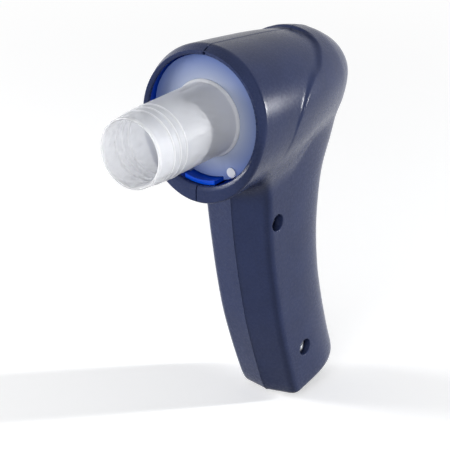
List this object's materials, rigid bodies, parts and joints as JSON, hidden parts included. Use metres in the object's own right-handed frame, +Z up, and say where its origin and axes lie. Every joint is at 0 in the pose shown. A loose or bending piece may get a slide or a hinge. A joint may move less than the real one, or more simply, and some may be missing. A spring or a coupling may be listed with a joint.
{
  "type": "handheld spirometer",
  "caption": "Pistol-grip lung function meter: leaning handle, round barrel, removable translucent breathing tube with a flange, and a blue release tab under it.",
  "frame": {"origin": "where the flow axis crosses the front face of the breathing tube's flange, inside the breathing tube's bore", "axes": "-Y along the flow axis out of the mouth end, +Z up away from the handle, +X towards the side with the screws"},
  "size_m": [0.0632, 0.1365, 0.1757],
  "materials": {
    "housing": "fine moulded texture, dark slate blue",
    "liner": "satin deep blue",
    "tab": "satin bright blue",
    "frosted": "frosted translucent polypropylene",
    "black_plastic": "plain black moulding",
    "rubber": "soft black seal",
    "silicone": "milky silicone",
    "sensor_case": "moulded epoxy case",
    "board": "solder-masked glass epoxy",
    "chip": "moulded chip package",
    "steel": "bright zinc plated",
    "brass": "turned",
    "mesh": "fine woven threads"
  },
  "bodies": {
    "handset": {"housing_left": "housing", "housing_right": "housing", "socket_liner": "liner", "flow_duct": "black_plastic", "duct_seal": "rubber", "exhaust_ring": "black_plastic", "hinge_pin": "steel", "tab_spring": "steel", "port_manifold": "black_plastic", "port_seals": "rubber", "pressure_hose_left": "silicone", "pressure_hose_right": "silicone", "pressure_sensor": "sensor_case", "main_board": "board", "board_chips": "chip", "usb_socket": "steel", "board_screws": "steel", "housing_screws": "steel", "screw_inserts": "brass"},
    "breathing_tube": {"transducer_front": "frosted", "transducer_rear": "frosted", "flow_screen": "mesh"},
    "tab": {"release_tab": "tab"}
  },
  "joints": [
    {"name": "transducer_slide", "type": "slide", "parent": "handset", "child": "breathing_tube", "axis": [0, -1, 0], "range_m": [0, 0.075]},
    {"name": "tab_press", "type": "hinge", "parent": "handset", "child": "tab", "pos_m": [0, 0.0135, -0.0264], "axis": [1, 0, 0], "range_deg": [0, 4], "stiffness_Nm_per_rad": 0.05, "springref_deg": -5.73, "deforming": ["tab_spring"]}
  ]
}
